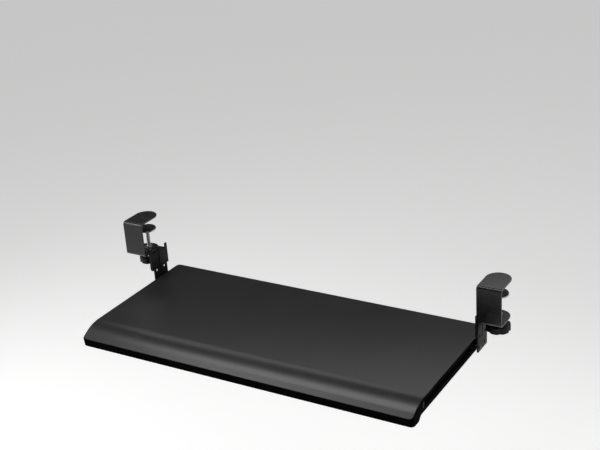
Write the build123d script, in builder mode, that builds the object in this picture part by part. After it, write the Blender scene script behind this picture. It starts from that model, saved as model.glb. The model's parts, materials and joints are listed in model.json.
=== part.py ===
"""A tray that slides out on rollers from under the board it clamps to, in millimetres.

The origin is the board's top front edge, at the middle of the tray: +X right, +Y in under the
board, +Z up. The tray is pulled out against its rear buffers. The right-hand pieces are modelled
at +X and the left-hand ones are their mirror images."""

import os
from math import cos, pi, radians, sin, tan

from build123d import *

os.makedirs("parts", exist_ok=True)

# The board that the clamps grip, and the fits that every piece shares
board_thickness = 23.0
running_fit = 0.05
seat_gap = 0.3
overrun = 2.0
straight_share = 0.999

# Tray shell: a flat deck whose front bends down as a palm slope
tray_width = 696.0
tray_flat = 289.0
tray_slope = 36.0
slope_angle = 31.0
tray_thickness = 26.0
tray_drop = 117.5
tray_back = 83.5
crease_radius = 80.0
deck_edge_radius = 3.0
base_edge_radius = 1.5
back_corner_radius = 8.0
front_corner_radius = 8.0
shell_wall = 3.0
rib_thickness = 2.0
rib_root = 0.5
ribs_across = 9
rib_rows = 3

# Front lip: the slope's end stands almost upright and hangs below the flat underside
lip_height = 15.5
lip_lean = 8.0
lip_depth = 22.0
lip_root_radius = 5.0
lip_back_radius = 3.0

# Underside panel and its screws
panel_thickness = 2.5
panel_screw_radius = 1.4
panel_screw_head_radius = 2.9
panel_screw_head_height = 1.5
panel_screw_length = 11.0
boss_radius = 4.0

# Slide rail: a channel in each side of the tray, open outwards
rail_height = 13.6
rail_depth = 12.0
rail_wall = 1.2
rail_setback = 1.0
rail_front_inset = 9.5
rail_screw_shares = (0.07, 0.35, 0.66, 0.93)
rail_screw_radius = 1.5
rail_screw_head_radius = 2.7
rail_screw_head_height = 1.3
rail_screw_tip_inset = 0.4
buffer_length = 6.0

# Rollers that carry the rail, on studs riveted to the hanger
roller_spacing = 25.3
roller_width = 6.0
roller_chamfer = 0.5
roller_play = 0.1
stud_radius = 2.0
stud_shoulder_radius = 4.0
stud_tip_radius = 3.2
stud_tip_length = 1.0
stud_shank_radius = 2.4
stud_rivet_length = 1.2
stud_end_gap = 0.6

# Hanger: a pressed steel angle between the clamp and the tray
hanger_thickness = 2.5
hanger_gap = 8.0
hanger_middle = 35.5
hanger_upper_width = 55.0
hanger_lower_width = 43.0
hanger_step = 13.5
hanger_ear = 8.0
hanger_ear_corner = 3.5
hanger_lip = 5.5
hanger_lip_corner = 4.5
hanger_skirt = 7.5
hanger_flange_reach = 37.0
hanger_flange_corner = 6.0
hanger_bend_radius = 2.4
hanger_lower_corner = 2.0
spare_hole_radius = 3.0
spare_hole_rise = 22.9
bead_width = 5.0
bead_height = 1.3
bead_length = 44.0
bead_round_share = 0.8

# Clamp: a bent steel strap round the board's edge
clamp_offset = 30.0
clamp_width = 46.5
clamp_thickness = 3.0
clamp_height = 73.0
clamp_bend_radius = 6.0
clamp_edge_round = 0.5
screw_set_in = 42.0
lower_end_set_in = 36.0
pad_inset = 2.0
clamp_pad_thickness = 1.0

# Clamp screw and the insert that it turns in
screw_radius = 4.0
screw_end_chamfer = 0.6
insert_flange_radius = 7.5
insert_flange_thickness = 1.2
insert_barrel_radius = 5.5
insert_barrel_stand = 1.5

# Pressure pad on the screw's tip
pressure_radius = 19.0
pressure_thickness = 2.5
facing_thickness = 2.0
facing_inset = 1.0
socket_boss_radius = 6.5
socket_boss_height = 6.5
tip_radius = 3.0
tip_length = 5.4

# Knob on the screw's lower end
knob_radius = 22.0
knob_height = 13.0
knob_lobes = 6
knob_scallop_radius = 6.0
knob_scallop_depth = 2.0
knob_scallop_fillet = 2.0
knob_edge_fillet = 1.5
knob_hub_radius = 8.0
knob_hub_height = 5.0
knob_floor = 3.3
knob_clear = 8.5

# Bolts that join the hanger to the clamp
bolt_radius = 2.5
bolt_hole_radius = 2.65
bolt_head_radius = 4.75
bolt_head_height = 2.75
bolt_crown_share = 0.8
bolt_spacing = 24.0
bolt_set_in = 15.0
bolt_middle = 33.0
bolt_tail = 0.6
nut_flats = 8.0
nut_height = 4.0
pair_shares = (-0.5, 0.5)

# Places that follow from the sizes above
deck_z = -tray_drop
crease_y = tray_back - tray_flat
bend = radians(slope_angle)
lean = radians(lip_lean)
underside_z = deck_z - tray_thickness
rib_floor = underside_z + panel_thickness
slope_front_y = crease_y - tray_slope * cos(bend)
slope_front_z = deck_z - tray_slope * sin(bend)
lip_z = slope_front_z - lip_height
lip_front_y = slope_front_y + lip_height * tan(lean)
lip_back_y = lip_front_y + lip_depth
lip_root_y = lip_back_y + underside_z - lip_z
inside_front_y = lip_front_y + shell_wall
panel_front_y = lip_root_y + shell_wall
rail_outer = tray_width / 2 - rail_setback
rail_inner = rail_outer - rail_depth
rail_z = deck_z - tray_thickness / 2
rail_bore = rail_height - 2 * rail_wall
roller_radius = rail_bore / 2 - roller_play
roller_front_y = hanger_middle - roller_spacing / 2
roller_back_y = hanger_middle + roller_spacing / 2
rail_back = roller_back_y + roller_radius + seat_gap + buffer_length
rail_front = crease_y + rail_front_inset
rail_length = rail_back - rail_front
cavity_half = rail_inner - shell_wall
hanger_x = tray_width / 2 + hanger_gap
clamp_middle = hanger_x + clamp_offset
clamp_top = clamp_pad_thickness + clamp_thickness
clamp_bottom = clamp_top - clamp_height
flange_underside = clamp_bottom - hanger_thickness
pressure_top = -board_thickness
boss_bottom = pressure_top - facing_thickness - pressure_thickness - socket_boss_height
knob_hub_top = flange_underside - knob_clear
knob_top = knob_hub_top - knob_hub_height
knob_bottom = knob_top - knob_height
screw_bottom = knob_bottom + knob_floor


def write(part, name):
    """Labels a finished piece and writes it as one file."""
    part.label = name
    export_step(part, f"parts/{name}.step")


def write_pair(part, name):
    """Writes the right-hand piece, and its mirror image as the left-hand one."""
    write(part, f"{name}_right")
    write(mirror(part, about=Plane.YZ), f"{name}_left")


def crease_point(depth):
    """Where a surface this far below the deck turns down, in the tray's side view."""
    return (crease_y + depth * tan(bend / 2), deck_z - depth)


def slope_height(y, depth):
    """Height of a surface this far below the palm slope."""
    return deck_z - (crease_y - y) * tan(bend) - depth / cos(bend)


def under_deck(inset, front, *floor):
    """Side view of what lies this far under the deck and the slope, down to a floor."""
    FilletPolyline(
        (tray_back - inset, deck_z - inset),
        crease_point(inset),
        (front, slope_height(front, inset)),
        *floor,
        radius=[0, crease_radius - inset, 0] + [0] * len(floor),
        close=True,
    )


def is_deck_rim(edge):
    """True for an edge round the deck and the palm slope, and not for the lines of their bend."""
    rise = crease_radius * (1 / cos(bend / 2) - 1) + running_fit
    bend_reach = crease_radius * tan(bend / 2) + running_fit
    ends = [edge @ 0, edge @ 0.5, edge @ 1]
    across = abs((edge % 0.5).X) > straight_share
    on_bend = across and abs(ends[1].Y - crease_y) < bend_reach
    tops = [min(deck_z, slope_height(p.Y, 0)) if p.Y < crease_y else deck_z for p in ends]
    return not on_bend and all(abs(top - p.Z) < rise for top, p in zip(tops, ends))


def is_base_rim(edge):
    """True for an edge round the underside and the lip, and not for the lines across them."""
    ends = [edge @ 0, edge @ 0.5, edge @ 1]
    across = abs((edge % 0.5).X) > straight_share
    at_end = ends[1].Y > tray_back - running_fit or ends[1].Y < lip_front_y + running_fit
    return all(p.Z < underside_z + running_fit for p in ends) and (at_end or not across)


def flange_plan(inset, front, end):
    """Plan of a clamp flange, drawn in at its sides: straight up to a half-round end."""
    half = clamp_width / 2 - inset
    with Locations((clamp_middle, (front + end) / 2)):
        Rectangle(2 * half, end - front)
    with Locations((clamp_middle, end)):
        Circle(half)


# Tray deck: a moulded shell with ribs and screw bosses under it
rib_pitch = 2 * cavity_half / (ribs_across + 1)
rib_xs = [(i - (ribs_across - 1) / 2) * rib_pitch for i in range(ribs_across)]
row_pitch = (tray_flat - shell_wall) / (rib_rows + 1)
row_ys = [tray_back - shell_wall - (i + 1) * row_pitch for i in range(rib_rows)]
boss_places = [(x, y) for x in rib_xs[::2] for y in (row_ys[0], row_ys[-1])]
rib_ceiling = deck_z - shell_wall + rib_root
rail_screw_ys = [rail_front + share * rail_length for share in rail_screw_shares]
rail_screw_hole_radius = rail_screw_radius + running_fit

with BuildPart() as tray_deck:
    with BuildSketch(Plane.YZ.offset(-tray_width / 2)):
        with BuildLine():
            FilletPolyline(
                (tray_back, deck_z),
                crease_point(0),
                (slope_front_y, slope_front_z),
                (lip_front_y, lip_z),
                (lip_back_y, lip_z),
                (lip_root_y, underside_z),
                (tray_back, underside_z),
                radius=[0, crease_radius, 0, 0, lip_back_radius, lip_root_radius, 0],
                close=True,
            )
        make_face()
    extrude(amount=tray_width)
    fillet(tray_deck.edges().filter_by(Axis.Z), back_corner_radius)
    front_wall = Axis((0, 0, 0), (0, sin(lean), -cos(lean)))
    fillet(tray_deck.edges().filter_by(front_wall), front_corner_radius)
    fillet(tray_deck.edges().filter_by(is_deck_rim), deck_edge_radius)
    fillet(tray_deck.edges().filter_by(is_base_rim), base_edge_radius)
    # Hollow, open below
    with BuildSketch(Plane.YZ.offset(-cavity_half)):
        with BuildLine():
            under_deck(
                shell_wall,
                inside_front_y,
                (inside_front_y, rib_floor),
                (panel_front_y, rib_floor),
                (panel_front_y, underside_z - overrun),
                (tray_back - shell_wall, underside_z - overrun),
            )
        make_face()
    extrude(amount=2 * cavity_half, mode=Mode.SUBTRACT)
    # Ribs from back to front, then ribs from side to side
    for x in rib_xs:
        with BuildSketch(Plane.YZ.offset(x - rib_thickness / 2)):
            with BuildLine():
                rib_edge = shell_wall - rib_root
                rib_front = inside_front_y - rib_root
                rib_ends = [(rib_front, rib_floor), (tray_back - rib_edge, rib_floor)]
                under_deck(rib_edge, rib_front, *rib_ends)
            make_face()
        extrude(amount=rib_thickness)
    with BuildSketch(Plane.XY.offset(rib_floor)):
        for y in row_ys:
            with Locations((0, y)):
                Rectangle(2 * (cavity_half + rib_root), rib_thickness)
        with Locations(*boss_places):
            Circle(boss_radius)
    extrude(amount=rib_ceiling - rib_floor)
    with BuildSketch(Plane.XY.offset(rib_floor)):
        with Locations(*boss_places):
            Circle(panel_screw_radius + running_fit)
    extrude(amount=panel_screw_length, mode=Mode.SUBTRACT)
    # Grooves for the rails and pilot holes for their screws
    for side in (-1, 1):
        with BuildSketch(Plane.YZ.offset(side * rail_inner)):
            with Locations(((rail_front + rail_back) / 2, rail_z)):
                Rectangle(rail_length, rail_height)
        extrude(amount=side * (rail_depth + rail_setback + overrun), mode=Mode.SUBTRACT)
        with BuildSketch(Plane.YZ.offset(side * rail_inner)):
            with Locations(*[(y, rail_z) for y in rail_screw_ys]):
                Circle(rail_screw_hole_radius)
        extrude(amount=-side * shell_wall, mode=Mode.SUBTRACT)
write(tray_deck.part, "tray_deck")

# Underside panel: closes the shell from below, behind the lip
panel_half = cavity_half - seat_gap
panel_hole_places = [
    Plane(origin=(x, y, underside_z), z_dir=(0, 0, -1)) for x, y in boss_places
]

with BuildPart() as tray_underside:
    panel_ends = (panel_front_y + seat_gap, tray_back - shell_wall - seat_gap)
    with BuildSketch(Plane.XY.offset(underside_z)):
        with Locations((0, sum(panel_ends) / 2)):
            Rectangle(2 * panel_half, panel_ends[1] - panel_ends[0])
    extrude(amount=panel_thickness)
    with Locations(*panel_hole_places):
        CounterSinkHole(
            panel_screw_radius + running_fit,
            panel_screw_head_radius + running_fit,
            depth=panel_thickness + overrun,
            counter_sink_angle=90,
        )
write(tray_underside.part, "tray_underside")

# Screws of the underside panel, heads down and flush
with BuildPart() as underside_screws:
    with BuildSketch(Plane.XZ):
        with BuildLine():
            Polyline(
                (0, 0),
                (panel_screw_head_radius, 0),
                (panel_screw_radius, panel_screw_head_height),
                (panel_screw_radius, panel_screw_length),
                (0, panel_screw_length + panel_screw_radius),
                close=True,
            )
        make_face()
    revolve(axis=Axis.Z)
one_screw = underside_screws.part

with BuildPart() as underside_screws:
    with Locations(*[(x, y, underside_z) for x, y in boss_places]):
        add(one_screw)
write(underside_screws.part, "underside_screws")

# Slide rail
with BuildPart() as slide_rail:
    with BuildSketch(Plane.XZ.offset(-rail_back)):
        with Locations(((rail_inner + rail_outer) / 2, rail_z)):
            Rectangle(rail_depth, rail_height)
        with Locations((rail_inner + rail_wall + rail_depth / 2, rail_z)):
            Rectangle(rail_depth, rail_bore, mode=Mode.SUBTRACT)
    extrude(amount=rail_length)
    with BuildSketch(Plane.YZ.offset(rail_inner)):
        with Locations(*[(y, rail_z) for y in rail_screw_ys]):
            Circle(rail_screw_hole_radius)
    extrude(amount=rail_wall, mode=Mode.SUBTRACT)
write_pair(slide_rail.part, "slide_rail")

# Screws that hold the rail to the tray's side, heads inside the channel
with BuildPart() as rail_screws:
    with BuildSketch(Plane.YZ.offset(rail_inner + rail_wall)):
        with Locations(*[(y, rail_z) for y in rail_screw_ys]):
            Circle(rail_screw_head_radius)
    extrude(amount=rail_screw_head_height)
    chamfer(rail_screws.faces().sort_by(Axis.X)[-len(rail_screw_ys):].edges(), rail_screw_head_height / 2)
    with BuildSketch(Plane.YZ.offset(rail_inner + rail_wall)):
        with Locations(*[(y, rail_z) for y in rail_screw_ys]):
            Circle(rail_screw_radius)
    extrude(amount=-(rail_wall + shell_wall - rail_screw_tip_inset))
write_pair(rail_screws.part, "rail_screws")


# Rubber buffers in the rail's two ends, which stop the rollers
for name, start in (("rear_buffer", rail_back - buffer_length), ("front_buffer", rail_front)):
    with BuildPart() as rail_buffer:
        with BuildSketch(Plane.XZ.offset(-(start + buffer_length))):
            with Locations(((rail_inner + rail_wall + rail_outer) / 2, rail_z)):
                Rectangle(rail_depth - rail_wall, rail_bore)
        extrude(amount=buffer_length)
    write_pair(rail_buffer.part, name)

# Rollers, each turning on its stud inside the channel
stud_tip_x = rail_inner + rail_wall + rail_screw_head_height + stud_end_gap
roller_inner = stud_tip_x + stud_tip_length + seat_gap
roller_outer = roller_inner + roller_width

for name, y in (("front_roller", roller_front_y), ("rear_roller", roller_back_y)):
    with BuildPart() as roller:
        with BuildSketch(Plane.YZ.offset(roller_inner)):
            with Locations((y, rail_z)):
                Circle(roller_radius)
                Circle(stud_radius + running_fit, mode=Mode.SUBTRACT)
        extrude(amount=roller_width)
        rims = roller.edges().filter_by(GeomType.CIRCLE).group_by(SortBy.RADIUS)[-1]
        chamfer(rims, roller_chamfer)
    write_pair(roller.part, name)

# Studs: shouldered pins through the hanger, riveted over outside
with BuildPart() as roller_studs:
    for y in (roller_front_y, roller_back_y):
        with BuildSketch(Plane.XZ.offset(-y)):
            with BuildLine():
                Polyline(
                    (stud_tip_x, rail_z),
                    (stud_tip_x, rail_z + stud_tip_radius),
                    (stud_tip_x + stud_tip_length, rail_z + stud_tip_radius),
                    (stud_tip_x + stud_tip_length, rail_z + stud_radius),
                    (roller_outer + seat_gap, rail_z + stud_radius),
                    (roller_outer + seat_gap, rail_z + stud_shoulder_radius),
                    (hanger_x, rail_z + stud_shoulder_radius),
                    (hanger_x, rail_z + stud_shank_radius),
                    (hanger_x + hanger_thickness, rail_z + stud_shank_radius),
                    (hanger_x + hanger_thickness, rail_z + stud_shoulder_radius),
                    (hanger_x + hanger_thickness + stud_rivet_length, rail_z + stud_shank_radius),
                    (hanger_x + hanger_thickness + stud_rivet_length, rail_z),
                    close=True,
                )
            make_face()
        revolve(axis=Axis((0, y, rail_z), (1, 0, 0)))
write_pair(roller_studs.part, "roller_studs")

# Hanger
hanger_base = rail_z - hanger_skirt
hanger_step_z = deck_z + hanger_step
ear_top = clamp_bottom + hanger_ear
upper_front = hanger_middle - hanger_upper_width / 2
upper_back = hanger_middle + hanger_upper_width / 2
bead_top = clamp_bottom - hanger_bend_radius
bolt_x = clamp_middle - bolt_set_in
bolt_places = [(bolt_x, bolt_middle + share * bolt_spacing) for share in pair_shares]
stud_places = [(roller_front_y, rail_z), (roller_back_y, rail_z)]
spare_places = [(y, z + spare_hole_rise) for y, z in stud_places]

with BuildPart() as hanger:
    # Web: a wide upper part above a step, a narrower part beside the tray
    with BuildSketch(Plane.YZ.offset(hanger_x)):
        with Locations((hanger_middle, (clamp_bottom + hanger_step_z) / 2)):
            Rectangle(hanger_upper_width, clamp_bottom - hanger_step_z)
        with Locations((hanger_middle, (clamp_bottom + hanger_base) / 2)):
            Rectangle(hanger_lower_width, clamp_bottom - hanger_base)
        # Ears at both ends of the bend
        ear_width = (hanger_upper_width - hanger_lower_width) / 2
        for y in (upper_front + ear_width / 2, upper_back - ear_width / 2):
            with Locations((y, (ear_top + clamp_bottom) / 2)):
                Rectangle(ear_width, ear_top - clamp_bottom)
    extrude(amount=hanger_thickness)
    lower_corners = hanger.edges().filter_by(Axis.X).group_by(Axis.Z)[0]
    fillet(lower_corners, hanger_lower_corner)
    # Top flange, under the clamp
    with BuildSketch(Plane.XY.offset(flange_underside)):
        with Locations((hanger_x + hanger_flange_reach / 2, hanger_middle)):
            Rectangle(hanger_flange_reach, hanger_lower_width)
    extrude(amount=hanger_thickness)
    outer_corners = hanger.edges().filter_by(Axis.Z).group_by(Axis.X)[-1]
    fillet(outer_corners, hanger_flange_corner)
    top_edges = hanger.edges().filter_by(Axis.Y).filter_by_position(Axis.X, hanger_x, hanger_x)
    bend_edge = top_edges.filter_by_position(Axis.Z, clamp_bottom, clamp_bottom)
    fillet(bend_edge, hanger_bend_radius)
    # Stiffening lips down the front and back edges
    for y in (upper_front + hanger_thickness, upper_back):
        with BuildSketch(Plane.XZ.offset(-y)):
            with Locations((hanger_x + hanger_lip / 2, (ear_top + hanger_step_z) / 2)):
                Rectangle(hanger_lip, ear_top - hanger_step_z)
            fillet(vertices().group_by(Axis.X)[-1], hanger_lip_corner)
        extrude(amount=hanger_thickness)
    # Pressed bead, raised towards the tray and hollow behind
    with BuildSketch(Plane.YZ.offset(hanger_x)):
        with Locations((hanger_middle, bead_top - bead_length / 2)):
            SlotOverall(bead_length, bead_width, rotation=90)
    extrude(amount=-bead_height)
    bead_rim = hanger.faces().sort_by(Axis.X)[0].edges()
    fillet(bead_rim, bead_height * bead_round_share)
    with BuildSketch(Plane.YZ.offset(hanger_x + hanger_thickness)):
        with Locations((hanger_middle, bead_top - bead_length / 2)):
            SlotOverall(bead_length - 2 * bead_height, bead_width - 2 * bead_height, rotation=90)
    extrude(amount=-bead_height, mode=Mode.SUBTRACT)
    # Holes: studs, the spare pair above them, the clamp bolts and the thread insert
    with BuildSketch(Plane.YZ.offset(hanger_x)):
        with Locations(*stud_places):
            Circle(stud_shank_radius + running_fit)
        with Locations(*spare_places):
            Circle(spare_hole_radius)
    extrude(amount=hanger_thickness, mode=Mode.SUBTRACT)
    with BuildSketch(Plane.XY.offset(flange_underside)):
        with Locations(*bolt_places):
            Circle(bolt_hole_radius)
        with Locations((clamp_middle, screw_set_in)):
            Circle(insert_barrel_radius + running_fit)
    extrude(amount=hanger_thickness, mode=Mode.SUBTRACT)
write_pair(hanger.part, "hanger")

# Clamp strap: two half-round flanges joined by a front plate
strap_inner_bend = clamp_bend_radius - clamp_thickness
strap_arm = strap_inner_bend + overrun
insert_seat = clamp_bottom + clamp_thickness


def is_strap_outline(edge):
    """True for an edge along the strap's sides or round its ends, and not for its bend lines."""
    middle = edge @ 0.5
    on_side = abs(abs(middle.X - clamp_middle) - clamp_width / 2) < running_fit
    on_end = middle.Y > screw_set_in + running_fit
    return on_end or (on_side and middle.Y < lower_end_set_in - running_fit)


with BuildPart() as clamp:
    with BuildSketch(Plane.YZ.offset(clamp_middle)):
        with BuildLine():
            FilletPolyline(
                (strap_arm, clamp_top),
                (-clamp_thickness, clamp_top),
                (-clamp_thickness, clamp_bottom),
                (strap_arm, clamp_bottom),
                radius=clamp_bend_radius,
            )
            Line((strap_arm, clamp_bottom), (strap_arm, insert_seat))
            FilletPolyline(
                (strap_arm, insert_seat),
                (0, insert_seat),
                (0, clamp_pad_thickness),
                (strap_arm, clamp_pad_thickness),
                radius=strap_inner_bend,
            )
            Line((strap_arm, clamp_pad_thickness), (strap_arm, clamp_top))
        make_face()
    extrude(amount=clamp_width / 2, both=True)
    with BuildSketch(Plane.XY.offset(clamp_pad_thickness)):
        flange_plan(0, strap_arm, screw_set_in)
    with BuildSketch(Plane.XY.offset(clamp_bottom)):
        flange_plan(0, strap_arm, lower_end_set_in)
    extrude(amount=clamp_thickness)
    # The strap's outline, rounded a little before its holes are cut
    fillet(clamp.edges().filter_by(is_strap_outline), clamp_edge_round)
    with BuildSketch(Plane.XY.offset(clamp_bottom)):
        with Locations(*bolt_places):
            Circle(bolt_hole_radius)
        with Locations((clamp_middle, screw_set_in)):
            Circle(insert_barrel_radius + running_fit)
    extrude(amount=clamp_thickness, mode=Mode.SUBTRACT)
write_pair(clamp.part, "clamp")

# Rubber pad under the clamp's upper flange
with BuildPart() as clamp_pad:
    with BuildSketch(Plane.XY):
        flange_plan(pad_inset, strap_inner_bend, screw_set_in)
    extrude(amount=clamp_pad_thickness)
write_pair(clamp_pad.part, "clamp_pad")

# Thread insert: its flange sits on the clamp's lower flange, its barrel passes the hanger's
with BuildPart() as thread_insert:
    with BuildSketch(Plane.XY.offset(insert_seat)):
        with Locations((clamp_middle, screw_set_in)):
            Circle(insert_flange_radius)
    extrude(amount=insert_flange_thickness)
    with BuildSketch(Plane.XY.offset(insert_seat)):
        with Locations((clamp_middle, screw_set_in)):
            Circle(insert_barrel_radius)
    extrude(amount=-(clamp_thickness + hanger_thickness + insert_barrel_stand))
    with BuildSketch(Plane.XY.offset(insert_seat + insert_flange_thickness)):
        with Locations((clamp_middle, screw_set_in)):
            Circle(screw_radius + running_fit)
    extrude(
        amount=-(insert_flange_thickness + clamp_thickness + hanger_thickness + insert_barrel_stand),
        mode=Mode.SUBTRACT,
    )
write_pair(thread_insert.part, "thread_insert")

# Clamp screw: a smooth tip in the pressure pad above a threaded rod
screw_shoulder = boss_bottom - running_fit
screw_axis = Axis((clamp_middle, screw_set_in, 0), (0, 0, 1))

with BuildPart() as clamp_screw:
    with BuildSketch(Plane.XZ.offset(-screw_set_in)):
        with BuildLine():
            Polyline(
                (clamp_middle, screw_bottom),
                (clamp_middle + screw_radius - screw_end_chamfer, screw_bottom),
                (clamp_middle + screw_radius, screw_bottom + screw_end_chamfer),
                (clamp_middle + screw_radius, screw_shoulder),
                (clamp_middle + tip_radius, screw_shoulder),
                (clamp_middle + tip_radius, screw_shoulder + tip_length),
                (clamp_middle, screw_shoulder + tip_length),
                close=True,
            )
        make_face()
    revolve(axis=screw_axis)
write_pair(clamp_screw.part, "clamp_screw")

# Knob: scalloped grip with a hub, moulded on the screw's lower end
scallop_pitch = knob_radius + knob_scallop_radius - knob_scallop_depth

with BuildPart() as clamp_knob:
    with BuildSketch(Plane.XY.offset(knob_bottom)):
        with Locations((clamp_middle, screw_set_in)):
            Circle(knob_radius)
            with PolarLocations(scallop_pitch, knob_lobes):
                Circle(knob_scallop_radius, mode=Mode.SUBTRACT)
        fillet(vertices(), knob_scallop_fillet)
    extrude(amount=knob_height)
    fillet(clamp_knob.faces().filter_by(Axis.Z).edges(), knob_edge_fillet)
    with BuildSketch(Plane.XY.offset(knob_top)):
        with Locations((clamp_middle, screw_set_in)):
            Circle(knob_hub_radius)
    extrude(amount=knob_hub_height)
    with BuildSketch(Plane.XY.offset(screw_bottom - seat_gap)):
        with Locations((clamp_middle, screw_set_in)):
            Circle(screw_radius + running_fit)
    extrude(amount=knob_hub_top - screw_bottom + seat_gap, mode=Mode.SUBTRACT)
write_pair(clamp_knob.part, "clamp_knob")

# Pressure pad: a steel disc with a socket for the screw's tip
disc_bottom = boss_bottom + socket_boss_height

with BuildPart() as pressure_pad:
    with BuildSketch(Plane.XY.offset(disc_bottom)):
        with Locations((clamp_middle, screw_set_in)):
            Circle(pressure_radius)
    extrude(amount=pressure_thickness)
    with BuildSketch(Plane.XY.offset(disc_bottom)):
        with Locations((clamp_middle, screw_set_in)):
            Circle(socket_boss_radius)
    extrude(amount=-socket_boss_height)
    with BuildSketch(Plane.XY.offset(boss_bottom)):
        with Locations((clamp_middle, screw_set_in)):
            Circle(tip_radius + running_fit)
    extrude(amount=tip_length + seat_gap, mode=Mode.SUBTRACT)
write_pair(pressure_pad.part, "pressure_pad")

# Rubber facing on the pressure pad
with BuildPart() as pad_facing:
    with BuildSketch(Plane.XY.offset(pressure_top)):
        with Locations((clamp_middle, screw_set_in)):
            Circle(pressure_radius - facing_inset)
    extrude(amount=-facing_thickness)
write_pair(pad_facing.part, "pad_facing")

# Bolts through the clamp and the hanger, heads up
with BuildPart() as hanger_bolts:
    with BuildSketch(Plane.XY.offset(insert_seat)):
        with Locations(*bolt_places):
            Circle(bolt_head_radius)
    extrude(amount=bolt_head_height)
    crowns = hanger_bolts.faces().filter_by(Axis.Z).group_by(Axis.Z)[-1].edges()
    fillet(crowns, bolt_head_height * bolt_crown_share)
    with BuildSketch(Plane.XY.offset(insert_seat)):
        with Locations(*bolt_places):
            Circle(bolt_radius)
    extrude(amount=-(clamp_thickness + hanger_thickness + nut_height + bolt_tail))
write_pair(hanger_bolts.part, "hanger_bolts")

# Nuts under the hanger's flange
with BuildPart() as hanger_nuts:
    with BuildSketch(Plane.XY.offset(flange_underside)):
        with Locations(*bolt_places):
            RegularPolygon(nut_flats / 2, 6, major_radius=False)
            Circle(bolt_radius + running_fit, mode=Mode.SUBTRACT)
    extrude(amount=-nut_height)
write_pair(hanger_nuts.part, "hanger_nuts")
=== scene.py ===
"""Looks of a clamp-on sliding tray with a palm slope, in metres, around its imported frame.

The frame's own pieces keep their shapes and get their finishes here. The clamp screws' threads,
the heads and nuts of the small fasteners and the grooved pads on the clamp screws are made here
and stand for their nodes."""

import json
import math

import bmesh
import bpy
from mathutils import Matrix, Vector


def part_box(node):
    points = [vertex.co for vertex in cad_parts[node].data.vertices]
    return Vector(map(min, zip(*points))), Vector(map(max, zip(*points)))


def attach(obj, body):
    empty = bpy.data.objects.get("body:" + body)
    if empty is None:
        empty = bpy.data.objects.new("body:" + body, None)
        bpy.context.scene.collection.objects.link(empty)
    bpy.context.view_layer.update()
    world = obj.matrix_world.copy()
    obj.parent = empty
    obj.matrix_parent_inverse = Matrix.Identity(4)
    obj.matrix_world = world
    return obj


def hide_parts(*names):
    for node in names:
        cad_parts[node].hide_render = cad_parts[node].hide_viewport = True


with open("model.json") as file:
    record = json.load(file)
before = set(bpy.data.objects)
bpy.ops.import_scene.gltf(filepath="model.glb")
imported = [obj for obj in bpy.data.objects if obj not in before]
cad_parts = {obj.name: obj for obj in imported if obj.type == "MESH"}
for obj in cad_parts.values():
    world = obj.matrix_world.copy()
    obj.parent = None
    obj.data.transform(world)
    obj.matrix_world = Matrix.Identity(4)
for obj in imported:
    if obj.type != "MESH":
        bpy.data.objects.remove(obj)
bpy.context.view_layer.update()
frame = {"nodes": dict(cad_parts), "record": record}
MM = 0.001
SIDES = (("left", -1), ("right", 1))
SHARP = math.radians(35)

# ---- Small tools for node trees ----


def linear(hex_colour):
    """sRGB hex to the linear RGBA that Blender's sockets take."""
    parts = [int(hex_colour[i : i + 2], 16) / 255 for i in (1, 3, 5)]
    return [c / 12.92 if c <= 0.04045 else ((c + 0.055) / 1.055) ** 2.4 for c in parts] + [1.0]


def add_node(tree, kind, inputs=None, **settings):
    """Adds one node, with its settings, and its inputs set or linked."""
    made = tree.nodes.new(kind)
    for key, value in settings.items():
        setattr(made, key, value)
    for socket, value in (inputs or {}).items():
        if isinstance(value, bpy.types.NodeSocket):
            tree.links.new(value, made.inputs[socket])
        else:
            made.inputs[socket].default_value = value
    return made


def new_material(name):
    """A material, its empty node tree, and Object coordinates."""
    material = bpy.data.materials.new(name)
    material.use_nodes = True
    tree = material.node_tree
    tree.nodes.clear()
    place = add_node(tree, "ShaderNodeTexCoord").outputs["Object"]
    return material, tree, place


def noise(tree, place, size_mm, detail, stretch=None):
    """Noise whose blobs are about this many millimetres across."""
    if stretch:
        place = add_node(tree, "ShaderNodeMapping", {"Vector": place, "Scale": stretch}).outputs[0]
    made = add_node(
        tree, "ShaderNodeTexNoise", {"Vector": place, "Scale": 1 / (size_mm * MM), "Detail": detail}
    )
    return made.outputs["Fac"]


def ranged(tree, value, low, high, from_low=0.3, from_high=0.7):
    """A pattern's value mapped to the range that a socket needs."""
    ends = {"From Min": from_low, "From Max": from_high, "To Min": low, "To Max": high}
    return add_node(tree, "ShaderNodeMapRange", {"Value": value, **ends}).outputs[0]


def combined(tree, operation, first, second=0.0, clamp=False):
    """The result of one sum on values or sockets."""
    made = add_node(
        tree, "ShaderNodeMath", {0: first, 1: second}, operation=operation, use_clamp=clamp
    )
    return made.outputs[0]


def blended(tree, factor, first, second):
    """Two colours mixed by a pattern."""
    made = add_node(
        tree, "ShaderNodeMix", {"Factor": factor, "A": first, "B": second}, data_type="RGBA"
    )
    return made.outputs["Result"]


def bumped(tree, height, depth_mm):
    """A normal raised by a pattern of this depth."""
    return add_node(
        tree, "ShaderNodeBump", {"Height": height, "Distance": depth_mm * MM}
    ).outputs["Normal"]


def finish_material(tree, **sockets):
    """Adds the shader, with these inputs set or linked, and the output."""
    names = {key.replace("_", " ").title().replace("Ior", "IOR"): v for key, v in sockets.items()}
    shader = add_node(tree, "ShaderNodeBsdfPrincipled", names)
    add_node(tree, "ShaderNodeOutputMaterial", {"Surface": shader.outputs[0]})


# ---- Finishes ----


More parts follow.
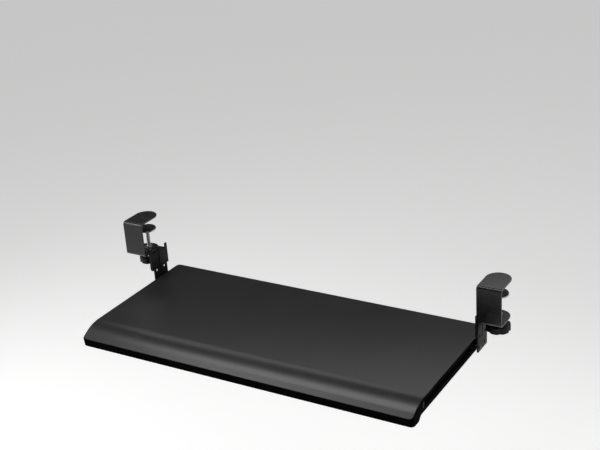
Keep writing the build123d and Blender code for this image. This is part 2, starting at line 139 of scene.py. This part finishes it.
def moulded_abs():
    """ABS moulded in a spark-eroded tool: satin black on the deck and the palm slope, so that a
    lamp spreads into a wide soft glow where the slope turns down."""
    material, tree, place = new_material("black_moulded_abs")
    cloud = noise(tree, place, 90, 3)
    colour = blended(tree, ranged(tree, cloud, 0, 1), linear("#1f1f20"), linear("#242425"))
    rough = ranged(tree, noise(tree, place, 22, 3), 0.28, 0.3)
    # The tool's grain is about 0.2 mm; it is drawn 1.3 mm wide so that it shows
    grain = noise(tree, place, 1.3, 2)
    finish_material(
        tree, base_color=colour, roughness=rough, ior=1.54, specular_ior_level=0.45,
        normal=bumped(tree, grain, 0.012),
    )
    return material


def shaded_abs_walls():
    """The shell's walls, from a coarser part of the same tool: a dead matt black band, darker and
    nearly glossless as painted shade.
    """
    material, tree, place = new_material("matt_black_moulded_abs_edge")
    cloud = noise(tree, place, 40, 3)
    # Painted shade: the walls' black is darker than the deck's and has almost no gloss
    colour = blended(tree, ranged(tree, cloud, 0, 1), linear("#0a0a0b"), linear("#0d0d0e"))
    grain = noise(tree, place, 1.1, 3)
    finish_material(
        tree, base_color=colour, roughness=ranged(tree, grain, 0.78, 0.9), ior=1.54,
        specular_ior_level=0.02, normal=bumped(tree, grain, 0.03),
    )
    return material


def moulded_polypropylene():
    """Polypropylene moulded in a plain tool: a flat, slightly waxy black."""
    material, tree, place = new_material("black_moulded_polypropylene")
    colour = blended(
        tree, ranged(tree, noise(tree, place, 70, 3), 0, 1), linear("#1c1c1d"), linear("#222223")
    )
    rough = ranged(tree, noise(tree, place, 15, 3), 0.54, 0.6)
    finish_material(
        tree, base_color=colour, roughness=rough, ior=1.49,
        normal=bumped(tree, noise(tree, place, 2.2, 3), 0.02),
    )
    return material


def powder_coat():
    """Polyester powder coat baked on steel: satin black with the faint orange peel of the bake, and
    a little paler where handling has rubbed it."""
    material, tree, place = new_material("black_powder_coated_steel")
    rubbed = ranged(tree, noise(tree, place, 34, 4), 0, 1, 0.55, 0.75)
    colour = blended(tree, rubbed, linear("#18181a"), linear("#202022"))
    rough = ranged(tree, noise(tree, place, 18, 3), 0.23, 0.3)
    # Orange peel is 1 to 2 mm from crest to crest
    peel = noise(tree, place, 1.6, 1)
    finish_material(
        tree, base_color=colour, roughness=rough, ior=1.5, normal=bumped(tree, peel, 0.02)
    )
    return material


def shaded_dip_coat():
    """Black electrophoretic paint on the pressed hangers and rails: thin, even and duller than the
    clamps' powder, and darker as painted shade, so the presswork reads by its edges."""
    material, tree, place = new_material("black_dip_coated_steel")
    cloud = noise(tree, place, 26, 3)
    # Painted shade: this coat's black is darker than the clamps' black
    colour = blended(tree, ranged(tree, cloud, 0, 1), linear("#09090a"), linear("#0e0e0f"))
    finish_material(
        tree, base_color=colour, roughness=ranged(tree, cloud, 0.46, 0.56), ior=1.5,
        specular_ior_level=0.18, normal=bumped(tree, noise(tree, place, 1.2, 2), 0.012),
    )
    return material


def zinc_plate():
    """Bright zinc plating on turned and rolled steel: silvery with a faint blue and straw bloom."""
    material, tree, place = new_material("bright_zinc_plated_steel")
    bloom = ranged(tree, noise(tree, place, 7, 2), 0, 1)
    colour = blended(tree, bloom, linear("#b4b9c0"), linear("#c6c2b6"))
    rough = ranged(tree, noise(tree, place, 1.2, 3), 0.24, 0.36)
    finish_material(
        tree, base_color=colour, metallic=1.0, roughness=rough,
        normal=bumped(tree, noise(tree, place, 0.6, 2), 0.006),
    )
    return material


def black_oxide():
    """Black oxide on steel bolts: an oily, nearly black metal with bare glints on its edges."""
    material, tree, place = new_material("black_oxide_steel")
    worn = ranged(tree, noise(tree, place, 1.5, 3), 0, 1, 0.5, 0.8)
    colour = blended(tree, worn, linear("#26272a"), linear("#45464a"))
    finish_material(
        tree, base_color=colour, metallic=1.0, roughness=ranged(tree, worn, 0.28, 0.42, 0, 1)
    )
    return material


def turned_acetal():
    """Black acetal turned from bar: deep black and slightly waxy, with fine tool rings."""
    material, tree, place = new_material("black_turned_acetal")
    colour = blended(
        tree, ranged(tree, noise(tree, place, 4, 2), 0, 1), linear("#141415"), linear("#1c1c1d")
    )
    rings = noise(tree, place, 0.35, 1, (1, 0.05, 0.05))
    finish_material(
        tree, base_color=colour, roughness=0.36, ior=1.48, normal=bumped(tree, rings, 0.01)
    )
    return material


def rubber():
    """Moulded EPDM rubber: dull black with a trace of grey bloom."""
    material, tree, place = new_material("black_moulded_rubber")
    bloom = ranged(tree, noise(tree, place, 6, 4), 0, 1, 0.5, 0.75)
    colour = blended(tree, bloom, linear("#171717"), linear("#232322"))
    finish_material(
        tree, base_color=colour, roughness=ranged(tree, bloom, 0.72, 0.86, 0, 1), ior=1.52,
        normal=bumped(tree, noise(tree, place, 0.5, 3), 0.02),
    )
    return material


def knob_plastic():
    """Glass-filled nylon moulded for the knobs: black, firm and a little glossier than the deck."""
    material, tree, place = new_material("black_glass_filled_nylon")
    flow = noise(tree, place, 9, 3)
    colour = blended(tree, ranged(tree, flow, 0, 1), linear("#0f0f10"), linear("#151516"))
    finish_material(
        tree, base_color=colour, roughness=ranged(tree, flow, 0.38, 0.48), ior=1.53,
        specular_ior_level=0.18,
        normal=bumped(tree, noise(tree, place, 0.9, 2), 0.015),
    )
    return material


finishes = {
    "tray_abs": moulded_abs(),
    "panel_polypropylene": moulded_polypropylene(),
    "black_coated_steel": powder_coat(),
    "zinc_steel": zinc_plate(),
    "black_oxide_steel": black_oxide(),
    "acetal": turned_acetal(),
    "black_rubber": rubber(),
    "knob_plastic": knob_plastic(),
}
slot_of = {row["node"]: row["material_slot"] for row in frame["record"]["subparts"]}
body_of = {
    node: body
    for body, members in frame["record"]["behaviour"]["bodies"].items()
    for node in members
}
for node, thing in frame["nodes"].items():
    thing.data.materials.clear()
    thing.data.materials.append(finishes[slot_of[node]])
# The hangers and rails take the darker coat, whose extra darkness is painted shade
dipped_and_shaded = shaded_dip_coat()
for node in ("hanger_left", "hanger_right", "slide_rail_left", "slide_rail_right"):
    frame["nodes"][node].data.materials[0] = dipped_and_shaded

# The tray's walls and its underside, from just under the deck's edge downwards, take a darker matt
# copy of the black as painted shade
tray_shell = frame["nodes"]["tray_deck"].data
tray_shell.materials.append(shaded_abs_walls())
for face in tray_shell.polygons:
    face.material_index = 0 if face.normal.z > 0.8 else 1

# ---- Mesh tools ----


def turned(profile, steps=48):
    """A closed shape turned about Z from its (radius, height) points in mm, bottom first."""
    shape = bmesh.new()
    rings = []
    for radius, height in profile:
        count = steps if radius else 1
        turns = [2 * math.pi * i / count for i in range(count)]
        rings.append(
            [
                shape.verts.new((radius * MM * math.cos(t), radius * MM * math.sin(t), height * MM))
                for t in turns
            ]
        )
    for low, high in zip(rings, rings[1:]):
        for i in range(steps):
            j = (i + 1) % steps
            ring = [low[i % len(low)], low[j % len(low)], high[j % len(high)], high[i % len(high)]]
            shape.faces.new(list(dict.fromkeys(ring)))
    return shape


def prism(points, low, high):
    """A closed upright prism on plan points, in millimetres."""
    shape = bmesh.new()
    rings = [[shape.verts.new((x * MM, y * MM, z * MM)) for x, y in points] for z in (low, high)]
    shape.faces.new(rings[0][::-1])
    shape.faces.new(rings[1])
    for i in range(len(points)):
        j = (i + 1) % len(points)
        shape.faces.new((rings[0][i], rings[0][j], rings[1][j], rings[1][i]))
    return shape


def as_object(name, shape):
    """A mesh object at the origin from a bmesh, smooth but for its sharp edges."""
    mesh = bpy.data.meshes.new(name)
    shape.to_mesh(mesh)
    shape.free()
    mesh.shade_smooth()
    mesh.set_sharp_from_angle(angle=SHARP)
    thing = bpy.data.objects.new(name, mesh)
    bpy.context.scene.collection.objects.link(thing)
    return thing


def settled(thing):
    """Turns an object's modifiers into plain mesh."""
    bpy.context.view_layer.update()
    evaluated = thing.evaluated_get(bpy.context.evaluated_depsgraph_get())
    mesh = bpy.data.meshes.new_from_object(evaluated)
    thing.modifiers.clear()
    old, thing.data = thing.data, mesh
    bpy.data.meshes.remove(old)
    mesh.shade_smooth()
    mesh.set_sharp_from_angle(angle=SHARP)
    return thing


def cut(thing, *shapes, operation="DIFFERENCE"):
    """Takes closed shapes out of a closed object, or keeps what it shares with them."""
    cutters = [as_object(f"{thing.name}_cutter", shape) for shape in shapes]
    for cutter in cutters:
        modifier = thing.modifiers.new("cut", "BOOLEAN")
        modifier.operation, modifier.solver, modifier.object = operation, "EXACT", cutter
    settled(thing)
    for cutter in cutters:
        bpy.data.objects.remove(cutter)
    return thing


def new_tree(name, sizes):
    """An empty geometry tree with a geometry in and out, and named inputs for its sizes."""
    tree = bpy.data.node_groups.new(name, "GeometryNodeTree")
    face = tree.interface
    face.new_socket("Geometry", in_out="OUTPUT", socket_type="NodeSocketGeometry")
    face.new_socket("Geometry", in_out="INPUT", socket_type="NodeSocketGeometry")
    for label, kind in sizes.items():
        face.new_socket(label, in_out="INPUT", socket_type=f"NodeSocket{kind}")
    return tree, add_node(tree, "NodeGroupInput").outputs


def run_tree(thing, tree, values):
    """Runs a geometry tree on an object with these values, and keeps the result as plain mesh."""
    modifier = thing.modifiers.new(tree.name, "NODES")
    modifier.node_group = tree
    for item in tree.interface.items_tree:
        if item.in_out == "INPUT" and item.name in values:
            modifier[item.identifier] = values[item.name]
    return settled(thing)


def repeat_tree():
    """Puts a copy of one piece at each point."""
    tree, given = new_tree("repeated_piece", {"Piece": "Object", "Finish": "Material"})
    info = add_node(tree, "GeometryNodeObjectInfo", {"Object": given["Piece"]})
    info.inputs["As Instance"].default_value = True
    copies = add_node(
        tree,
        "GeometryNodeInstanceOnPoints",
        {"Points": given["Geometry"], "Instance": info.outputs["Geometry"]},
    )
    real = add_node(tree, "GeometryNodeRealizeInstances", {"Geometry": copies.outputs[0]})
    dressed = add_node(
        tree, "GeometryNodeSetMaterial", {"Geometry": real.outputs[0], "Material": given["Finish"]}
    )
    add_node(tree, "NodeGroupOutput", {"Geometry": dressed.outputs[0]})
    return tree


def thread_tree():
    """A rod with a right-hand trapezoidal thread, standing on the origin."""
    sizes = {
        "Length": "Float", "Root radius": "Float", "Thread depth": "Float", "Pitch": "Float",
        "Steps round": "Int", "Rows": "Int", "Place": "Vector", "Finish": "Material",
    }
    tree, given = new_tree("threaded_rod", sizes)

    def math_node(operation, first, second=0.0, clamp=False):
        return combined(tree, operation, first, second, clamp)

    columns = math_node("ADD", given["Steps round"], 1)
    grid = add_node(
        tree,
        "GeometryNodeMeshGrid",
        {"Size X": 1.0, "Size Y": 1.0, "Vertices X": columns, "Vertices Y": given["Rows"]},
    )
    spot = add_node(tree, "GeometryNodeInputPosition").outputs[0]
    flat = add_node(tree, "ShaderNodeSeparateXYZ", {"Vector": spot})
    turn = math_node("ADD", flat.outputs["X"], 0.5)
    height = math_node("MULTIPLY", math_node("ADD", flat.outputs["Y"], 0.5), given["Length"])
    climb = math_node("SUBTRACT", math_node("DIVIDE", height, given["Pitch"]), turn)
    saw = math_node("FRACT", climb)
    ridge = math_node("ABSOLUTE", math_node("SUBTRACT", math_node("MULTIPLY", saw, 2.0), 1.0))
    # Crest, root and each pair of flanks take about a third of the pitch
    flank = ranged(tree, ridge, 0.0, 1.0, 0.33, 0.67)
    # The thread runs out over one pitch at each end
    from_top = math_node("SUBTRACT", given["Length"], height)
    nearest = math_node("MINIMUM", height, from_top)
    run_out = math_node("DIVIDE", nearest, given["Pitch"], clamp=True)
    raised = math_node("MULTIPLY", math_node("MULTIPLY", flank, run_out), given["Thread depth"])
    radius = math_node("ADD", raised, given["Root radius"])
    angle = math_node("MULTIPLY", turn, 2 * math.pi)
    across = math_node("MULTIPLY", radius, math_node("COSINE", angle))
    along = math_node("MULTIPLY", radius, math_node("SINE", angle))
    wound = add_node(tree, "ShaderNodeCombineXYZ", {"X": across, "Y": along, "Z": height})
    skin = add_node(
        tree,
        "GeometryNodeSetPosition",
        {"Geometry": grid.outputs["Mesh"], "Position": wound.outputs[0]},
    ).outputs[0]
    disc = add_node(
        tree,
        "GeometryNodeMeshCircle",
        {"Vertices": given["Steps round"], "Radius": given["Root radius"]},
        fill_type="NGON",
    ).outputs[0]
    top = add_node(tree, "ShaderNodeCombineXYZ", {"Z": given["Length"]}).outputs[0]
    lid = add_node(tree, "GeometryNodeTransform", {"Geometry": disc, "Translation": top}).outputs[0]
    foot = add_node(tree, "GeometryNodeFlipFaces", {"Mesh": disc}).outputs[0]
    joined = add_node(tree, "GeometryNodeJoinGeometry")
    for shell in (skin, lid, foot):
        tree.links.new(shell, joined.inputs[0])
    closed = add_node(
        tree, "GeometryNodeMergeByDistance", {"Geometry": joined.outputs[0], "Distance": 0.002 * MM}
    ).outputs[0]
    placed = add_node(
        tree, "GeometryNodeTransform", {"Geometry": closed, "Translation": given["Place"]}
    ).outputs[0]
    real = add_node(tree, "GeometryNodeRealizeInstances", {"Geometry": placed}).outputs[0]
    dressed = add_node(
        tree, "GeometryNodeSetMaterial", {"Geometry": real, "Material": given["Finish"]}
    ).outputs[0]
    add_node(tree, "NodeGroupOutput", {"Geometry": dressed})
    return tree


REPEAT = repeat_tree()
THREAD = thread_tree()


def stand_for(piece, node):
    """Shows a finished piece in place of a node of the frame."""
    if not piece.data.materials:
        piece.data.materials.append(finishes[slot_of[node]])
    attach(piece, body_of[node])
    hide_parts(node)


def middles(node, axis):
    """Where a node's equal solids lie along one axis, told apart by the gaps between them."""
    least_gap = 6 * MM
    marks = sorted(v.co[axis] for v in frame["nodes"][node].data.vertices)
    gaps = [(a, b) for a, b in zip(marks, marks[1:]) if b - a > least_gap]
    starts = [marks[0]] + [b for _, b in gaps]
    ends = [a for a, _ in gaps] + [marks[-1]]
    return [(start + end) / 2 for start, end in zip(starts, ends)]


def middle_between(low, high):
    """The middle of a box, as (x, y, z)."""
    return [(a + b) / 2 for a, b in zip(low, high)]


def turned_to(thing, outward):
    """Turns a piece's mesh from its own +Z to the way that its head looks."""
    turn = Vector((0, 0, 1)).rotation_difference(Vector(outward))
    thing.data.transform(turn.to_matrix().to_4x4())
    return thing


def repeated(name, piece, places, slot):
    """Puts copies of a piece at these places, as one mesh, and drops the first one."""
    points = bpy.data.meshes.new(name)
    points.from_pydata([tuple(place) for place in places], [], [])
    thing = bpy.data.objects.new(name, points)
    bpy.context.scene.collection.objects.link(thing)
    run_tree(thing, REPEAT, {"Piece": piece, "Finish": finishes[slot]})
    bpy.data.objects.remove(piece)
    return thing


def ring_of(count, radius):
    """Points evenly round the origin."""
    turns = [2 * math.pi * i / count for i in range(count)]
    return [(radius * math.cos(t), radius * math.sin(t)) for t in turns]


def cross_of(reach, half):
    """A plus sign's outline for a cross recess."""
    quarter = [(reach, -half), (reach, half), (half, half)]
    outline = []
    for _ in range(4):
        outline += quarter
        quarter = [(-y, x) for x, y in quarter]
    return outline


# ---- Small fasteners, in millimetres, each with its seat at the origin and its head up ----

BOLT_HEAD = 2.75
PAN_HEAD = 1.3


def button_bolt():
    """A domed bolt with a hexagon socket."""
    shank = [(0, -10.1), (2.1, -10.1), (2.5, -9.7), (2.5, 0)]
    dome = [(4.75, 0.0), (4.75, 0.35), (4.62, 0.95), (4.25, 1.6), (3.6, 2.2), (2.9, 2.6)]
    crown = [(2.3, BOLT_HEAD), (0, BOLT_HEAD)]
    socket = prism(ring_of(6, radius=1.73), low=1.1, high=3.2)
    return cut(as_object("button_bolt", turned(shank + dome + crown)), socket)


def hexagon_nut():
    """A nut whose corners are turned off on both faces, with its top at the origin."""
    # 8 mm across its flats and 4 mm thick, for a 5 mm thread
    corner_radius, thickness, bore_radius = 4.6188, 4, 2.55
    nut = as_object("hexagon_nut", prism(ring_of(6, corner_radius), -thickness, 0))
    turning = turned([(0, -4.1), (3.75, -4.1), (4.7, -3.55), (4.7, -0.45), (3.75, 0.1), (0, 0.1)])
    bore = turned([(0, -5), (bore_radius, -5), (bore_radius, 1), (0, 1)], steps=32)
    return cut(cut(nut, turning, operation="INTERSECT"), bore)


def pan_screw():
    """A low pan head with a cross recess on a short shank."""
    shank = [(0, -3.8), (1.5, -3.8), (1.5, 0)]
    head = [(2.7, 0), (2.7, 0.55), (2.45, 0.95), (2.0, 1.2), (1.5, PAN_HEAD), (0, PAN_HEAD)]
    recess = prism(cross_of(reach=1.35, half=0.3), low=0.5, high=2)
    return cut(as_object("pan_screw", turned(shank + head, steps=32)), recess)


def countersunk_screw():
    """A flush countersunk head with a cross recess, its face at the origin."""
    outline = [(0, -12.4), (1.4, -11), (1.4, -1.5), (2.9, 0), (0, 0)]
    recess = prism(cross_of(reach=1.4, half=0.32), low=-0.8, high=1)
    return cut(as_object("countersunk_screw", turned(outline, steps=32)), recess)


for side, sign in SIDES:
    node = f"hanger_bolts_{side}"
    low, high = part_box(node)
    x = middle_between(low, high)[0]
    places = [(x, y, high[2] - BOLT_HEAD * MM) for y in middles(node, 1)]
    stand_for(repeated(f"button_bolts_{side}", button_bolt(), places, slot_of[node]), node)

    node = f"hanger_nuts_{side}"
    low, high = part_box(node)
    x = middle_between(low, high)[0]
    places = [(x, y, high[2]) for y in middles(node, 1)]
    stand_for(repeated(f"hexagon_nuts_{side}", hexagon_nut(), places, slot_of[node]), node)

    node = f"rail_screws_{side}"
    low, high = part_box(node)
    seat = (high[0] if sign > 0 else low[0]) - sign * PAN_HEAD * MM
    places = [(seat, y, middle_between(low, high)[2]) for y in middles(node, 1)]
    screw = turned_to(pan_screw(), (sign, 0, 0))
    stand_for(repeated(f"pan_screws_{side}", screw, places, slot_of[node]), node)

node = "underside_screws"
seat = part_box(node)[0][2]
places = [(x, y, seat) for x in middles(node, 0) for y in middles(node, 1)]
screw = turned_to(countersunk_screw(), (0, 0, -1))
stand_for(repeated("countersunk_screws", screw, places, slot_of[node]), node)

# ---- Clamp screws and their pads ----


def clamp_thread(side):
    """The clamp's spindle: a trapezoidal thread of 2 mm pitch under a smooth tip."""
    tip_length, tip_radius, tip_chamfer = 5.4, 3.0, 0.5
    node = f"clamp_screw_{side}"
    low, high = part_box(node)
    axis_x, axis_y, _ = middle_between(low, high)
    shoulder = high[2] - tip_length * MM
    tip = turned(
        [
            (0, 0),
            (tip_radius, 0),
            (tip_radius, tip_length - tip_chamfer),
            (tip_radius - tip_chamfer, tip_length),
            (0, tip_length),
        ],
        steps=32,
    )
    bmesh.ops.translate(tip, verts=tip.verts, vec=(axis_x, axis_y, shoulder))
    tip_piece = as_object("tip", tip)
    seed = bpy.data.meshes.new(f"spindle_{side}")
    spindle = bpy.data.objects.new(f"spindle_{side}", seed)
    bpy.context.scene.collection.objects.link(spindle)
    sizes = {
        "Length": shoulder - low[2],
        "Root radius": 3.15 * MM,
        "Thread depth": 0.84 * MM,
        "Pitch": 2 * MM,
        "Steps round": 48,
        "Rows": 301,
        "Place": (axis_x, axis_y, low[2]),
        "Finish": finishes[slot_of[node]],
    }
    run_tree(spindle, THREAD, sizes)
    whole = bmesh.new()
    whole.from_mesh(spindle.data)
    whole.from_mesh(tip_piece.data)
    whole.to_mesh(spindle.data)
    whole.free()
    bpy.data.objects.remove(tip_piece)
    stand_for(spindle, node)


def grooved_facing(side):
    """The screw pad's rubber facing, with turned grooves for grip."""
    grooves, land, pitch, chamfer = 5, 2.4, 3, 0.4
    node = f"pad_facing_{side}"
    low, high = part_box(node)
    radius, thick = (high[0] - low[0]) / 2 / MM, (high[2] - low[2]) / MM
    floor = thick - 0.6
    profile = [(0, 0), (radius, 0), (radius, thick - chamfer), (radius - chamfer, thick)]
    for ring in range(grooves):
        edge = radius - land - pitch * ring
        profile += [(edge, thick), (edge - 0.25, floor), (edge - 0.85, floor), (edge - 1.1, thick)]
    shape = turned(profile + [(0, thick)], steps=64)
    middle = middle_between(low, high)
    bmesh.ops.translate(shape, verts=shape.verts, vec=(middle[0], middle[1], low[2]))
    stand_for(as_object(f"grooved_facing_{side}", shape), node)


for side, _ in SIDES:
    clamp_thread(side)
    grooved_facing(side)


# ---- Studio ----

WHITE = "#ffffff"
PAPER = "#f4f4f3"


def seen_rays(tree):
    """One for the rays that show a thing, straight or in gloss, and nought for the rest."""
    rays = add_node(tree, "ShaderNodeLightPath").outputs
    straight = combined(tree, "MAXIMUM", rays["Is Camera Ray"], rays["Is Glossy Ray"])
    return combined(tree, "MAXIMUM", straight, rays["Is Transmission Ray"])


def studio():
    """A pale floor, a sky, soft lamps and the photograph's camera."""
    scene = bpy.context.scene
    scene.view_settings.view_transform = "Standard"
    world = bpy.data.worlds.new("studio")
    scene.world = world
    world.use_nodes = True
    tree = world.node_tree
    tree.nodes.clear()
    # Bright overhead as under a wide softbox, dim lower down, and a paler band along the horizon
    way = add_node(tree, "ShaderNodeTexCoord").outputs["Generated"]
    up = add_node(tree, "ShaderNodeSeparateXYZ", {"Vector": way}).outputs["Z"]
    overhead = ranged(tree, up, 0.02, 0.3, 0.62, 0.98)
    band = ranged(tree, up, 0.6, 0.0, 0.1, 0.26)
    seen_band = combined(tree, "MULTIPLY", band, seen_rays(tree))
    glow = combined(tree, "ADD", overhead, seen_band)
    light = add_node(tree, "ShaderNodeBackground", {"Color": linear(WHITE), "Strength": glow})
    add_node(tree, "ShaderNodeOutputWorld", {"Surface": light.outputs[0]})

    floor_height, floor_reach = -0.73, 14
    floor_shape = bmesh.new()
    bmesh.ops.create_grid(floor_shape, x_segments=1, y_segments=1, size=floor_reach)
    bmesh.ops.translate(floor_shape, verts=floor_shape.verts, vec=(0, 0, floor_height))
    floor = as_object("floor", floor_shape)
    # The floor looks pale, and throws less light up at the walls than it shows
    material, tree, _ = new_material("studio_paper")
    seen = seen_rays(tree)
    tone = blended(tree, seen, linear("#565656"), linear(PAPER))
    glow = combined(tree, "MULTIPLY", seen, 0.45)
    finish_material(
        tree, base_color=tone, roughness=0.9, specular_ior_level=0.1,
        emission_color=linear(WHITE), emission_strength=glow,
    )
    floor.data.materials.append(material)

    # Name, place, what it looks at, turn in its own plane, width, height, watts and colour
    middle = (0, -0.15, -0.13)
    lamps = (
        ("overhead_softbox", (-0.54, -0.16, 1.5), middle, 14, 0.46, 1.4, 9.2, WHITE),
        ("back_strip", (-0.3, 0.5, 0.5), (-0.3, -0.2, -0.12), 13, 1.35, 0.22, 1.35, WHITE),
        ("bend_softbox", (-1.59, -1.0, 1.25), (-0.386, 0, 0), 0, 0.45, 0.4, 7.5, WHITE),
        ("rim_strip", (0.62, 0.75, 0.3), (0.34, -0.1, -0.12), 0, 0.25, 0.6, 1.6, WHITE),
        ("key_softbox", (1.1, -1.4, 1.9), middle, 0, 1.2, 1.2, 4, "#fffdf9"),
        ("front_fill", (-1.3, -1.3, 0.5), middle, 0, 0.8, 0.8, 4, "#f8fbff"),
        ("left_fill", (-1.6, 0, 0.4), middle, 0, 0.8, 0.8, 4, WHITE),
        ("right_fill", (1.6, 0.1, 0.6), middle, 0, 0.8, 0.8, 4, WHITE),
    )
    for name, spot, target, turn, width, height, watts, hex_colour in lamps:
        lamp = bpy.data.lights.new(name, "AREA")
        lamp.shape, lamp.size, lamp.size_y, lamp.energy = "RECTANGLE", width, height, watts
        lamp.color = linear(hex_colour)[:3]
        holder = bpy.data.objects.new(name, lamp)
        scene.collection.objects.link(holder)
        aim = (Vector(target) - Vector(spot)).to_track_quat("-Z", "Y").to_matrix()
        turned_aim = aim @ Matrix.Rotation(math.radians(turn), 3, "Z")
        holder.matrix_world = Matrix.Translation(spot) @ turned_aim.to_4x4()
        holder.visible_camera = False

    # The photograph's camera: 2.2 m away, a little to the right, and rolled by 4 degrees
    right = Vector((0.86259, 0.50159, -0.06588))
    upward = Vector((-0.14603, 0.37155, 0.91686))
    back = Vector((0.48436, -0.78125, 0.39374))
    camera_data = bpy.data.cameras.new("camera")
    camera_data.sensor_width, camera_data.lens = 36, 70.65
    camera = bpy.data.objects.new("camera", camera_data)
    scene.collection.objects.link(camera)
    turn = Matrix((right, upward, back)).transposed().to_4x4()
    camera.matrix_world = Matrix.Translation((1.0698, -1.7040, 0.9215)) @ turn
    scene.camera = camera


studio()
